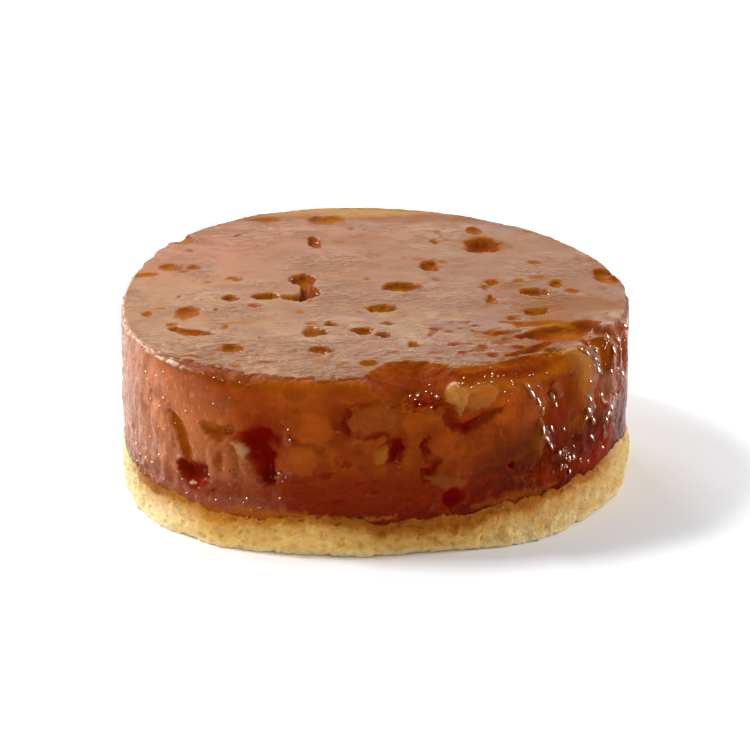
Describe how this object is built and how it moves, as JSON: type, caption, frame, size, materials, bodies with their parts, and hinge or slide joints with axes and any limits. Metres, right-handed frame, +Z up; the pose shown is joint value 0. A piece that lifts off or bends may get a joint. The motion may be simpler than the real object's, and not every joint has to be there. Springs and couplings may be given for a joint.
{
  "type": "tarte tatin",
  "caption": "Individual tarte tatin: a thick round puck of pressed caramelised apple, pitted and glossy, on a thin golden shortcrust disc.",
  "frame": {"origin": "middle of the underside, on the surface that the tart stands on", "axes": "+Z up through the top of the apples, +X to the right and -Y towards the viewer, with the torn notch in the top edge at the front"},
  "size_m": [0.0802, 0.0801, 0.0287],
  "materials": {
    "caramelised_apple": "gloss",
    "shortcrust": "matte"
  },
  "bodies": {
    "root": {"apple_layer": "caramelised_apple", "pastry_base": "shortcrust"}
  },
  "joints": []
}
